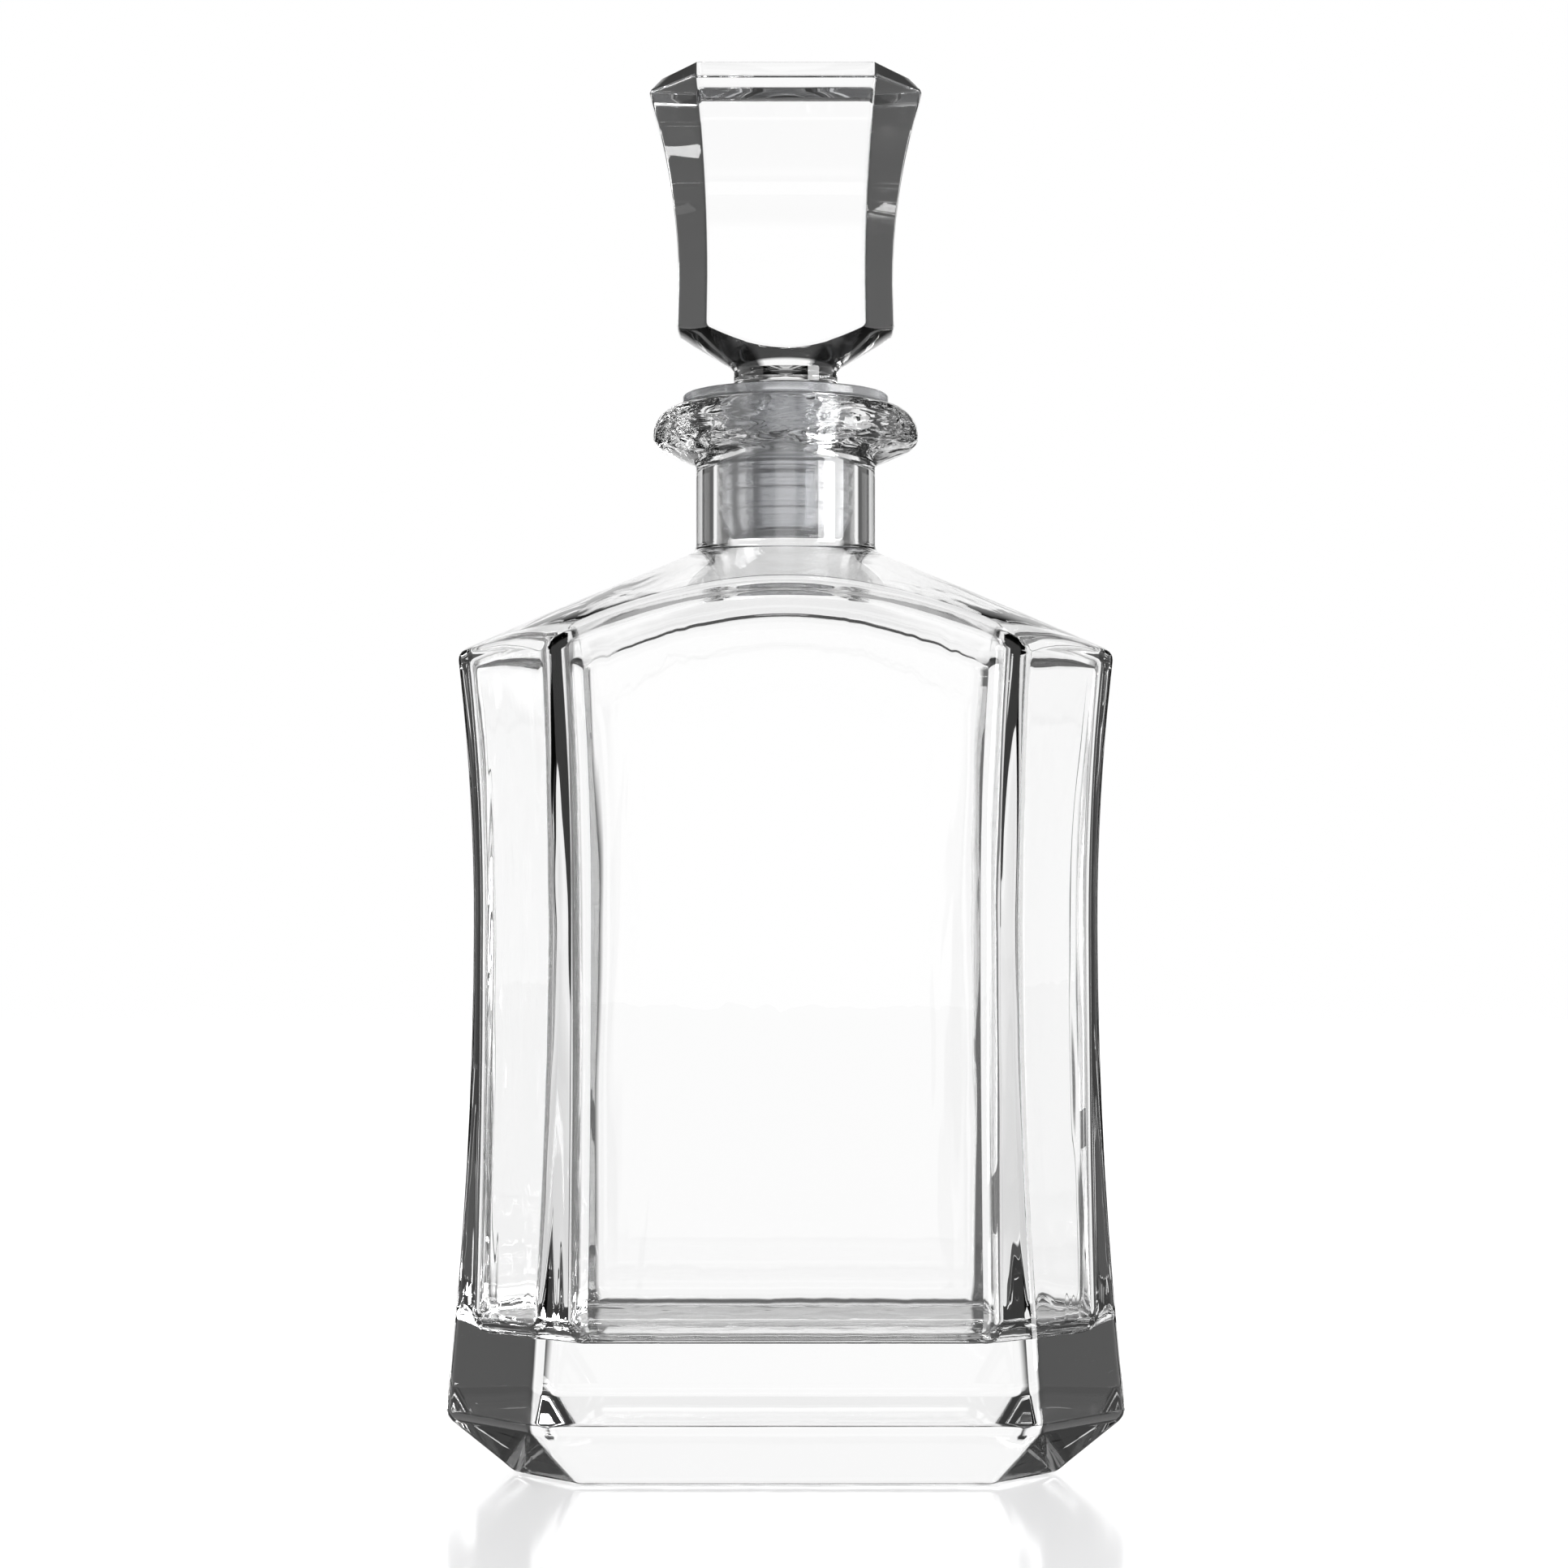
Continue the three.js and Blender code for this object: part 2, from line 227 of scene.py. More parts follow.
class Shell:
    """A mesh while it is being modelled. It stays in edit mode until it is finished."""

    def __init__(self, name: str) -> None:
        """Names the piece.

        Args:
            name: The name of the object that the shell becomes.
        """
        self.name = name
        self.obj: bpy.types.Object | None = None
        self.plan: Plan | None = None
        self.rim: tuple[float, float] | None = None

    def _add_disc(self, count: int, radius: float, height: float, turn: float) -> None:
        """Adds a flat disc as a new object, applies its place and opens edit mode.

        Args:
            count: How many corners the disc has.
            radius: Its radius.
            height: Its height.
            turn: Its turn about Z.
        """
        bpy.ops.object.select_all(action="DESELECT")
        bpy.ops.mesh.primitive_circle_add(
            vertices=count, radius=radius, fill_type="NGON", location=(0, 0, height), rotation=(0, 0, turn)
        )
        bpy.ops.object.transform_apply(location=True, rotation=True, scale=True)
        self.obj = bpy.context.view_layer.objects.active
        self.obj.name = self.name
        self.obj.data.name = self.name
        bpy.ops.object.mode_set(mode="EDIT")

    def mesh(self) -> bmesh.types.BMesh:
        """Returns the mesh being edited."""
        return bmesh.from_edit_mesh(self.obj.data)

    def pick(self, kind: Pick, test: Callable[..., bool]) -> int:
        """Selects only the parts of the mesh that pass a test.

        Args:
            kind: Whether vertices, edges or faces are selected.
            test: Says whether a vertex, edge or face is wanted.

        Returns:
            How many were selected.
        """
        bpy.ops.mesh.select_mode(type=kind.value)
        bpy.ops.mesh.select_all(action="DESELECT")
        mesh = self.mesh()
        parts = {Pick.VERTICES: mesh.verts, Pick.EDGES: mesh.edges, Pick.FACES: mesh.faces}[kind]
        chosen = [part for part in parts if test(part)]
        for part in chosen:
            part.select_set(True)
        mesh.select_flush_mode()
        bmesh.update_edit_mesh(self.obj.data)
        return len(chosen)

    def _pick_numbered(self, numbers: list[int]) -> None:
        """Selects vertices and nothing else.

        Args:
            numbers: The numbers of the wanted vertices.
        """
        wanted = set(numbers)
        self.mesh().verts.index_update()
        self.pick(Pick.VERTICES, lambda v: v.index in wanted)

    def _scale(self, along_x: float, along_y: float, height: float) -> None:
        """Scales the selection about the axis."""
        bpy.ops.transform.resize(value=(along_x, along_y, 1), center_override=(0, 0, height))

    def _extrude(self, rise: float) -> None:
        """Extrudes the selection along Z."""
        bpy.ops.mesh.extrude_region_move(TRANSFORM_OT_translate={"value": (0, 0, rise)})

    def _fit_ring(self, plan: Plan) -> None:
        """Moves the eight corners at a plan's height from the last plan's sizes to its own.

        Args:
            plan: The plan that the corners are to have.
        """
        last = self.plan
        middle = (last.width + last.front) / 4
        ring = [v for v in self.mesh().verts if abs(v.co.z - plan.height) < TOUCH]
        side_corners = [v.index for v in ring if abs(v.co.x) > middle]
        front_corners = [v.index for v in ring if abs(v.co.x) < middle]
        self._pick_numbered(side_corners)
        self._scale(plan.width / last.width, plan.side / last.side, plan.height)
        self._pick_numbered(front_corners)
        self._scale(plan.front / last.front, plan.depth / last.depth, plan.height)
        self.plan = plan

    def stack(self, plans: list[Plan]) -> None:
        """Builds a closed faceted solid.

        Args:
            plans: Its plans, lowest first, each at a height of its own.
        """
        first = plans[0]
        self._add_disc(8, first.width / 2, first.height, math.pi / 8)
        long, short = first.width * math.cos(math.pi / 8), first.width * math.sin(math.pi / 8)
        self.plan = Plan(first.height, long, long, short, short)
        self._fit_ring(first)
        for plan in plans[1:]:
            height = self.plan.height
            self.pick(Pick.FACES, lambda f, h=height: all(abs(v.co.z - h) < TOUCH for v in f.verts))
            self._extrude(plan.height - height)
            self._fit_ring(plan)

    def cut_strips(self, strips: Strips) -> None:
        """Cuts every flat of a faceted solid into upright strips.

        Args:
            strips: How many strips each kind of flat gets.
        """

        def way(edge: bmesh.types.BMEdge) -> tuple[bool, bool, bool]:
            """Says whether an edge keeps the same height, the same Y and the same X."""
            a, b = (v.co for v in edge.verts)
            return abs(a.z - b.z) < TOUCH, abs(a.y - b.y) < TOUCH, abs(a.x - b.x) < TOUCH

        flats = (
            (strips.front, (True, True, False)),
            (strips.side, (True, False, True)),
            (strips.corner, (True, False, False)),
        )
        for count, wanted in flats:
            self.pick(Pick.EDGES, lambda e, w=wanted: way(e) == w)
            bpy.ops.mesh.subdivide(number_cuts=count - 1)

    def open_end(self, height: float) -> None:
        """Removes the flat face that closes one end of the solid."""
        self.pick(Pick.FACES, lambda f: all(abs(v.co.z - height) < TOUCH for v in f.verts))
        bpy.ops.mesh.delete(type="ONLY_FACE")

    def fill_end(self, height: float) -> None:
        """Closes an open end with one flat face.

        Args:
            height: The height of the open end.
        """

        def on_rim(edge: bmesh.types.BMEdge) -> bool:
            """Says whether an edge is on the rim of the open end."""
            return len(edge.link_faces) == 1 and all(abs(v.co.z - height) < TOUCH for v in edge.verts)

        self.pick(Pick.EDGES, on_rim)
        bpy.ops.mesh.edge_face_add()

    def bridge_to_circle(self, height: float, radius: float, count: int, rings: int, away: float) -> None:
        """Fills an open end with flat rings of faces round a circular hole.

        Args:
            height: The height of the open end.
            radius: The radius of the hole.
            count: How many corners the open end and the hole have.
            rings: How many rings lie between them.
            away: Any distance that leads away from the solid, upwards or downwards.
        """
        bpy.ops.mesh.select_all(action="DESELECT")
        bpy.ops.mesh.primitive_circle_add(vertices=count, radius=radius, location=(0, 0, height + away))

        def on_end(edge: bmesh.types.BMEdge) -> bool:
            """Says whether an edge is on the open end or on the circle."""
            level = edge.verts[0].co.z - height
            return len(edge.link_faces) < 2 and (abs(level) < TOUCH or abs(level - away) < TOUCH)

        self.pick(Pick.EDGES, on_end)
        bpy.ops.mesh.bridge_edge_loops(number_cuts=rings, interpolation="LINEAR")
        self.pick(Pick.VERTICES, lambda v: (v.co.z - height) * away > 0)
        bpy.ops.transform.resize(value=(1, 1, 0), center_override=(0, 0, height))

    def drape(self, height: float, surface: Callable[[float, float], float]) -> None:
        """Moves everything at one height up or down onto a surface.

        Args:
            height: The height of what is moved.
            surface: Gives the surface's height over a place. It is alike in all four quarters.
        """
        groups: dict[tuple[int, int], list[int]] = {}
        places: dict[tuple[int, int], tuple[float, float]] = {}
        self.mesh().verts.index_update()
        for v in self.mesh().verts:
            if abs(v.co.z - height) < TOUCH:
                key = (round(abs(v.co.x) / TOUCH), round(abs(v.co.y) / TOUCH))
                groups.setdefault(key, []).append(v.index)
                places[key] = (v.co.x, v.co.y)
        for key in sorted(groups):
            self._pick_numbered(groups[key])
            bpy.ops.transform.translate(value=(0, 0, surface(*places[key]) - height))

    def _pick_open_edge(self) -> None:
        """Selects the edge loop of the piece's one open end, and notes its radius and height."""
        self.pick(Pick.EDGES, lambda e: len(e.link_faces) == 1)
        corner = next(v for v in self.mesh().verts if v.select)
        self.rim = (math.hypot(corner.co.x, corner.co.y), corner.co.z)

    def _follow(self, profile: Profile) -> None:
        """Extrudes the selected ring to each point of a profile in turn.

        Args:
            profile: Points, each a radius and a height.
        """
        for radius, height in profile:
            last_radius, last_height = self.rim
            self._extrude(height - last_height)
            self._scale(radius / last_radius, radius / last_radius, height)
            self.rim = (radius, height)

    def continue_round(self, profile: Profile) -> None:
        """Carries the round open end on along a profile, one ring of faces for each point."""
        self._pick_open_edge()
        self._follow(profile)

    def close_end(self) -> None:
        """Fills the open end with a flat face."""
        self._pick_open_edge()
        bpy.ops.mesh.edge_face_add()

    def turn(self, profile: Profile, count: int) -> None:
        """Builds a closed round solid.

        Args:
            profile: Points from the underside to the last face, each a radius and a height.
            count: How many corners each ring has.
        """
        self.rim = profile[0]
        self._add_disc(count, *self.rim, 0.0)
        self._follow(profile[1:])

    def round_edges(self, offset: float, segments: int, sharpest: float,
                    where: Callable[[bmesh.types.BMEdge], bool] = lambda e: True) -> int:
        """Rounds the edges that turn by more than an angle.

        Args:
            offset: How far from the edge the rounding starts.
            segments: How many strips the rounding has.
            sharpest: The turn, in degrees, above which an edge is rounded.
            where: Says whether an edge may be rounded.

        Returns:
            How many edges were rounded.
        """
        limit = math.radians(sharpest)
        count = self.pick(
            Pick.EDGES, lambda e: len(e.link_faces) == 2 and e.calc_face_angle(0.0) > limit and where(e)
        )
        bpy.ops.mesh.bevel(offset=offset, segments=segments, profile=0.5, affect="EDGES", clamp_overlap=False)
        return count

    def to_object(self) -> bpy.types.Object:
        """Leaves edit mode and returns the object."""
        bpy.ops.object.mode_set(mode="OBJECT")
        return self.obj

    def finish(self) -> bpy.types.Object:
        """Turns the faces outwards and smooths the shading.

        Returns:
            The finished object.
        """
        bpy.ops.mesh.select_mode(type=Pick.FACES.value)
        bpy.ops.mesh.select_all(action="SELECT")
        bpy.ops.mesh.remove_doubles(threshold=TOUCH / 10)
        bpy.ops.mesh.normals_make_consistent(inside=False)
        obj = self.to_object()
        bpy.ops.object.shade_smooth()
        modifier = obj.modifiers.new("flat_faces_stay_flat", "WEIGHTED_NORMAL")
        modifier.mode = "FACE_AREA"
        modifier.weight = 100
        bpy.ops.object.modifier_apply(modifier=modifier.name)
        return obj


# Finishes.


def dressed(name: str, looks: dict[str, float | tuple[float, ...]]) -> bpy.types.Material:
    """Makes a material and sets its shader.

    Args:
        name: The material's name.
        looks: The shader's values, by the names of its sockets.

    Returns:
        The material.
    """
    made = bpy.data.materials.new(name)
    made.use_nodes = True
    shader = made.node_tree.nodes["Principled BSDF"]
    for socket, value in looks.items():
        shader.inputs[socket].default_value = value
    return made


def uneven(tree: bpy.types.NodeTree, per_metre: float, stretch: tuple[float, float, float], height: float,
           detail: float, twist: float) -> bpy.types.Node:
    """Adds bumps that stay in their place on the object.

    Args:
        tree: The material's nodes.
        per_metre: About how many times a metre the bumps repeat.
        stretch: By how much that number is multiplied along X, Y and Z.
        height: How high the bumps are.
        detail: How many finer layers of bumps lie on them.
        twist: How much they are distorted.

    Returns:
        The bump node.
    """
    place = tree.nodes.new("ShaderNodeTexCoord")
    drawn = tree.nodes.new("ShaderNodeMapping")
    drawn.inputs["Scale"].default_value = stretch
    tree.links.new(place.outputs["Object"], drawn.inputs["Vector"])
    noise = tree.nodes.new("ShaderNodeTexNoise")
    noise.inputs["Scale"].default_value = per_metre
    noise.inputs["Detail"].default_value = detail
    noise.inputs["Distortion"].default_value = twist
    tree.links.new(drawn.outputs["Vector"], noise.inputs["Vector"])
    bump = tree.nodes.new("ShaderNodeBump")
    bump.inputs["Strength"].default_value = 1.0
    bump.inputs["Distance"].default_value = height
    tree.links.new(noise.outputs["Fac"], bump.inputs["Height"])
    return bump


@dataclass(frozen=True)
class Unevenness:
    """A faint relief left on glass by its mould.

    The relief repeats about this many times a metre, is drawn out upwards by its stretch, and fades in and
    out over the fade at the two ends of its range of heights.
    """

    per_metre: float
    stretch: float
    height: float
    detail: float = 1.0
    twist: float = 0.0
    lowest: float = -1.0
    highest: float = 1.0
    fade: float = 0.002

    def _strength(self, tree: bpy.types.NodeTree) -> bpy.types.NodeSocket:
        """Works out how strong the relief is at each height.

        Args:
            tree: The material's nodes.

        Returns:
            The strength: 1 within the relief's range of heights, 0 outside it.
        """
        place = tree.nodes.new("ShaderNodeTexCoord")
        split = tree.nodes.new("ShaderNodeSeparateXYZ")
        tree.links.new(place.outputs["Object"], split.inputs["Vector"])
        both = tree.nodes.new("ShaderNodeMath")
        both.operation = "MULTIPLY"
        ends = (
            (self.lowest, self.lowest + self.fade, 0.0, 1.0),
            (self.highest - self.fade, self.highest, 1.0, 0.0),
        )
        for factor, (low, high, under, over) in zip(both.inputs, ends):
            grow = tree.nodes.new("ShaderNodeMapRange")
            grow.interpolation_type = "SMOOTHSTEP"
            grow.inputs["From Min"].default_value = low
            grow.inputs["From Max"].default_value = high
            grow.inputs["To Min"].default_value = under
            grow.inputs["To Max"].default_value = over
            tree.links.new(split.outputs["Z"], grow.inputs["Value"])
            tree.links.new(grow.outputs["Result"], factor)
        return both.outputs[0]

    def laid_on(self, tree: bpy.types.NodeTree, below: bpy.types.NodeSocket | None) -> bpy.types.NodeSocket:
        """Adds the relief to a material.

        Args:
            tree: The material's nodes.
            below: The normal that the relief lies on, or None for the bare surface.

        Returns:
            The normal with the relief.
        """
        bump = uneven(tree, self.per_metre, (1, 1, self.stretch), self.height, self.detail, self.twist)
        tree.links.new(self._strength(tree), bump.inputs["Strength"])
        if below is not None:
            tree.links.new(below, bump.inputs["Normal"])
        return bump.outputs["Normal"]


@dataclass(frozen=True)
class GlassFinish:
    """Clear polished glass with the unevenness of a pressed and fire-polished surface."""

    name: str
    reliefs: tuple[Unevenness, ...]
    ior: float = 1.52
    roughness: float = 0.0

    def material(self) -> bpy.types.Material:
        """Makes the material.

        Returns:
            A transmitting material with all of the reliefs on it.
        """
        made = dressed(self.name, {
            "Base Color": (1, 1, 1, 1),
            "Transmission Weight": 1.0,
            "Roughness": self.roughness,
            "IOR": self.ior,
        })
        tree = made.node_tree
        normal = None
        for relief in self.reliefs:
            normal = relief.laid_on(tree, normal)
        tree.links.new(normal, tree.nodes["Principled BSDF"].inputs["Normal"])
        return made


@dataclass(frozen=True)
class SleeveFinish:
    """Translucent moulded plastic with faint mould lines running round it.

    The lines are level because their pattern hardly changes sideways: the spread is how much of it is left.
    """

    name: str
    colour: tuple[float, float, float] = (0.90, 0.91, 0.93)
    clearness: float = 0.86
    roughness: float = 0.18
    ior: float = 1.5
    lines_per_metre: float = 900.0
    line_height: float = 0.00012
    line_detail: float = 2.0
    spread: float = 0.02

    def material(self) -> bpy.types.Material:
        """Makes the material.

        Returns:
            A material that lets light through and scatters it.
        """
        made = dressed(self.name, {
            "Base Color": (*self.colour, 1),
            "Transmission Weight": self.clearness,
            "Roughness": self.roughness,
            "IOR": self.ior,
        })
        tree = made.node_tree
        spread = (self.spread, self.spread, 1)
        bump = uneven(tree, self.lines_per_metre, spread, self.line_height, self.line_detail, 0.0)
        tree.links.new(bump.outputs["Normal"], tree.nodes["Principled BSDF"].inputs["Normal"])
        return made


def straight_or_through_glass(tree: bpy.types.NodeTree, straight: bpy.types.NodeSocket,
                              through: bpy.types.NodeSocket) -> bpy.types.NodeSocket:
    """Gives the camera one shader where it looks straight at a surface, and all other rays another.

    Args:
        tree: The nodes of a material or of the world.
        straight: The shader that the camera sees straight.
        through: The shader that is met through the glass or in a reflection.

    Returns:
        The two shaders as one.
    """
    path = tree.nodes.new("ShaderNodeLightPath")
    mix = tree.nodes.new("ShaderNodeMixShader")
    tree.links.new(path.outputs["Is Camera Ray"], mix.inputs["Fac"])
    tree.links.new(through, mix.inputs[1])
    tree.links.new(straight, mix.inputs[2])
    return mix.outputs[0]


@dataclass(frozen=True)
class FloorFinish:
    """A pale, softly glowing floor. Through the glass and in reflections it is a polished sheet."""

    name: str
    colour: tuple[float, float, float] = (0.35, 0.35, 0.36)
    roughness: float = 0.14
    gloss: float = 0.42
    glow: float = 0.62
    sheet_brightness: float = 0.97
    sheet_roughness: float = 0.03

    def material(self) -> bpy.types.Material:
        """Makes the material.

        Returns:
            A pale material for the camera, mixed with the polished sheet for all other rays.
        """
        made = dressed(self.name, {
            "Base Color": (*self.colour, 1),
            "Roughness": self.roughness,
            "Specular IOR Level": self.gloss,
            "Emission Color": (1, 1, 1, 1),
            "Emission Strength": self.glow,
        })
        tree = made.node_tree
        sheet = tree.nodes.new("ShaderNodeBsdfGlossy")
        sheet.inputs["Color"].default_value = (*(self.sheet_brightness,) * 3, 1)
        sheet.inputs["Roughness"].default_value = self.sheet_roughness
        pale = tree.nodes["Principled BSDF"]
        surface = straight_or_through_glass(tree, pale.outputs[0], sheet.outputs[0])
        tree.links.new(surface, tree.nodes["Material Output"].inputs["Surface"])
        return made


# Pieces.


@dataclass
class Bottle:
    """The glass bottle: a faceted block with a sloping shoulder, a round neck, a rolled lip and a cavity.

    The slant is how much deeper the sloping shoulder's wall is straight down than square to its surface. The
    lip's root and edge say how far across and up the straight underside ends from the neck and from the rim.
    """

    base: Plan = Plan(0.0, 0.095, 0.052, 0.0708, 0.024)
    foot: Plan = Plan(0.0106, 0.119, 0.072, 0.0862, 0.034)
    waist: Plan = Plan(0.096, 0.1096, 0.0684, 0.080, 0.036)
    shoulder: Plan = Plan(0.1442, 0.116, 0.070, 0.083, 0.031)
    foot_wall: Plan = Plan(0.0, 0.008, 0.005, 0.007, 0.0045)
    waist_wall: Plan = Plan(0.0, 0.0033, 0.0038, 0.0045, 0.0045)
    shoulder_wall: Plan = Plan(0.0, 0.0035, 0.0039, 0.0042, 0.003)
    shoulder_rise: float = 0.0194
    shoulder_roundness: float = 3.5
    shoulder_thickness: float = 0.0026
    shoulder_slant: float = 1.09
    shoulder_clearance: float = 0.001
    base_thickness: float = 0.0245
    floor_radius: float = 0.0045
    neck_radius: float = 0.0162
    neck_fillet: float = 0.0016
    neck_ring: float = 0.006
    lip_radius: float = 0.024
    lip_height: float = 0.0108
    lip_root: Point = (0.0012, 0.0008)
    lip_root_start: float = 0.0004
    lip_root_corner: float = 0.0003
    lip_edge: Point = (0.0016, 0.0024)
    lip_edge_corner: float = 0.0014
    crown_width: float = 0.0051
    crown_height: float = 0.0054
    crown_ring: float = 0.003
    bore_radius: float = 0.0125
    mouth_rounding: float = 0.0009
    throat_rounding: float = 0.002
    recess_margin: float = 0.005
    recess_depth: float = 0.001
    recess_slope: float = 0.002
    recess_step: float = 0.00003
    edge_rounding: float = 0.0014
    inner_rounding: float = 0.0021
    strips: Strips = Strips(32, 12, 16)
    shoulder_rings: int = 9
    levels: int = 8

    def __post_init__(self) -> None:
        """Takes the overall sizes from the frame."""
        low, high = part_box("decanter_body")
        self.lip_top = high.z
        self.foot = Plan(self.foot.height, high.x - low.x, high.y - low.y, self.foot.front, self.foot.side)
        self.neck_root = self.shoulder.height + self.shoulder_rise
        w, d, f, s = ((n / 2) ** 2 for n in (self.shoulder.width, self.shoulder.depth,
                                             self.shoulder.front, self.shoulder.side))
        scale = f * s - d * w
        self.shoulder_a = math.sqrt(scale / (s - d))
        self.shoulder_b = math.sqrt(scale / (f - w))

    def shoulder_height(self, x: float, y: float, lowering: float = 0.0) -> float:
        """Gives the height of the shoulder surface.

        Its level curves are round at the neck and turn into the ellipse through the eight corners.

        Args:
            x: The place across.
            y: The place from front to back.
            lowering: How far below the outer surface the wanted surface lies.

        Returns:
            The surface's height there.
        """
        reach = self.shoulder_a - self.neck_radius
        low, high = -0.3, 1.4
        for _ in range(40):
            share = (low + high) / 2
            a = self.neck_radius + reach * share
            b = a - (self.shoulder_a - self.shoulder_b) * max(0.0, min(share, 1)) ** self.shoulder_roundness
            if (x / a) ** 2 + (y / b) ** 2 > 1:
                low = share
            else:
                high = share
        return self.neck_root - self.shoulder_rise * low - lowering

    def _sides(self, low: Plan, waist: Plan, high: Plan, start: float) -> list[Plan]:
        """Lists the plans from a starting height up to the level just under the shoulder's corners.

        Args:
            low: The plan at the lower end of the flare.
            waist: The narrowest plan.
            high: The plan at the shoulder's corners.
            start: The starting height, which is not listed itself.

        Returns:
            The plans, lowest first.
        """
        under_corners = high.height - self.shoulder_thickness - self.shoulder_clearance
        heights = steps(start, waist.height, self.levels)[1:]
        heights += steps(waist.height, under_corners, self.levels)[1:]
        return [flared(low, waist, high, height) for height in heights]

    def _off_the_slope(self, outline: Plan) -> Callable[[bmesh.types.BMEdge], bool]:
        """Gives a test that is passed by every edge but those within the sloping part of the shoulder.

        Args:
            outline: The plan of the walls at the shoulder.

        Returns:
            The test, which says whether an edge may be rounded.
        """
        walls_end = outline.height - self.shoulder_thickness

        def test(edge: bmesh.types.BMEdge) -> bool:
            """Says whether both ends of an edge are on the walls or on the shoulder's outline."""
            return all(v.co.z < walls_end or outline.margin(v.co.x, v.co.y) < TOUCH for v in edge.verts)

        return test

    def _close_shoulder(self, shell: Shell, hole: float, lowering: float) -> None:
        """Turns the open top of a block into a shoulder with a round hole in it.

        Args:
            shell: The block.
            hole: The radius of the hole.
            lowering: How far the shoulder lies below the outer surface.
        """
        shell.bridge_to_circle(self.lip_top, hole, self.strips.around(), self.shoulder_rings, away=0.01)
        shell.drape(self.lip_top, lambda x, y: self.shoulder_height(x, y, lowering))

    def _outside(self) -> Shell:
        """Models the outer skin.

        Returns:
            The skin, open at the mouth.
        """
        shell = Shell("decanter_glass")
        crown = self.shoulder.at(self.lip_top)
        sides = self._sides(self.foot, self.waist, self.shoulder, self.foot.height)
        rim = self.base.drawn_in(self.recess_margin, self.recess_step)
        recess = rim.drawn_in(self.recess_slope, self.recess_depth)
        shell.stack([recess, rim, self.base, self.foot, *sides, crown])
        shell.open_end(self.lip_top)
        shell.open_end(recess.height)
        shell.cut_strips(self.strips)
        shell.fill_end(recess.height)
        hole = self.neck_radius + self.neck_fillet
        self._close_shoulder(shell, hole, 0.0)
        slope = self._off_the_slope(self.shoulder)
        rounded = shell.round_edges(self.edge_rounding, segments=4, sharpest=15, where=slope)
        LOG.info("decanter_glass: %d outer edges rounded", rounded)
        shell.continue_round(self._neck_profile(hole))
        return shell

    def _neck_profile(self, hole: float) -> Profile:
        """Gives the profile of the neck and lip.

        Args:
            hole: The radius where the neck's fillet starts on the shoulder.

        Returns:
            Points from the shoulder to the edge of the bore.
        """
        neck, lip = self.neck_radius, self.lip_radius
        lip_bottom = self.lip_top - self.lip_height
        rim = self.lip_top - self.crown_height
        land = lip - self.crown_width
        root = self.shoulder_height(0, neck)
        root_across, root_up = self.lip_root
        edge_across, edge_up = self.lip_edge
        fillet = bend((hole, self.shoulder_height(0, hole)), (neck, root), (neck, root + self.neck_fillet),
                      count=6)
        under_lip = bend((neck, lip_bottom - self.lip_root_start), (neck, lip_bottom + self.lip_root_corner),
                         (neck + root_across, lip_bottom + root_up), count=4)
        under_edge = bend((lip - edge_across, rim - edge_up), (lip, rim - self.lip_edge_corner), (lip, rim),
                          count=6)
        crown = arc((land, rim), self.crown_width, self.crown_height, (0, 90), count=12)
        mouth = bend((self.bore_radius + self.mouth_rounding, self.lip_top), (self.bore_radius, self.lip_top),
                     (self.bore_radius, self.lip_top - self.mouth_rounding), count=5)
        return [
            *fillet[1:],
            (neck, root + self.neck_ring),
            *under_lip,
            *under_edge,
            *crown[1:],
            (land - self.crown_ring, self.lip_top),
            *mouth,
        ]

    def _inside(self) -> Shell:
        """Models the skin of the cavity.

        Returns:
            The skin, open at the top of the bore.
        """
        shell = Shell("decanter_cavity")
        foot, waist, shoulder = (
            self.foot.less_wall(self.foot_wall),
            self.waist.less_wall(self.waist_wall),
            self.shoulder.less_wall(self.shoulder_wall),
        )
        radius = self.floor_radius
        floor = []
        for reach, rise in arc((0.0, 0.0), radius, radius, (90, 0), count=6):
            height = self.base_thickness + radius - rise
            floor.append(flared(foot, waist, shoulder, height).drawn_in(radius - reach, height))
        sides = self._sides(foot, waist, shoulder, self.base_thickness + radius)
        crown = shoulder.at(self.lip_top)
        shell.stack([*floor, *sides, crown])
        shell.open_end(self.lip_top)
        shell.open_end(self.base_thickness)
        shell.cut_strips(self.strips)
        shell.fill_end(self.base_thickness)
        lowering = self.shoulder_thickness * self.shoulder_slant
        hole = self.bore_radius + self.throat_rounding
        self._close_shoulder(shell, hole, lowering)
        slope = self._off_the_slope(shoulder)
        rounded = shell.round_edges(self.inner_rounding, segments=6, sharpest=30, where=slope)
        LOG.info("decanter_glass: %d inner edges rounded", rounded)
        start = (hole, self.shoulder_height(0, hole, lowering))
        root = self.shoulder_height(0, self.bore_radius, lowering)
        throat = bend(start, (self.bore_radius, root), (self.bore_radius, root + self.throat_rounding),
                      count=5)
        straight = 2 * self.throat_rounding
        bore = [(self.bore_radius, z) for z in steps(root + straight, self.lip_top - straight, 4)]
        shell.continue_round([*throat[1:], *bore])
        return shell

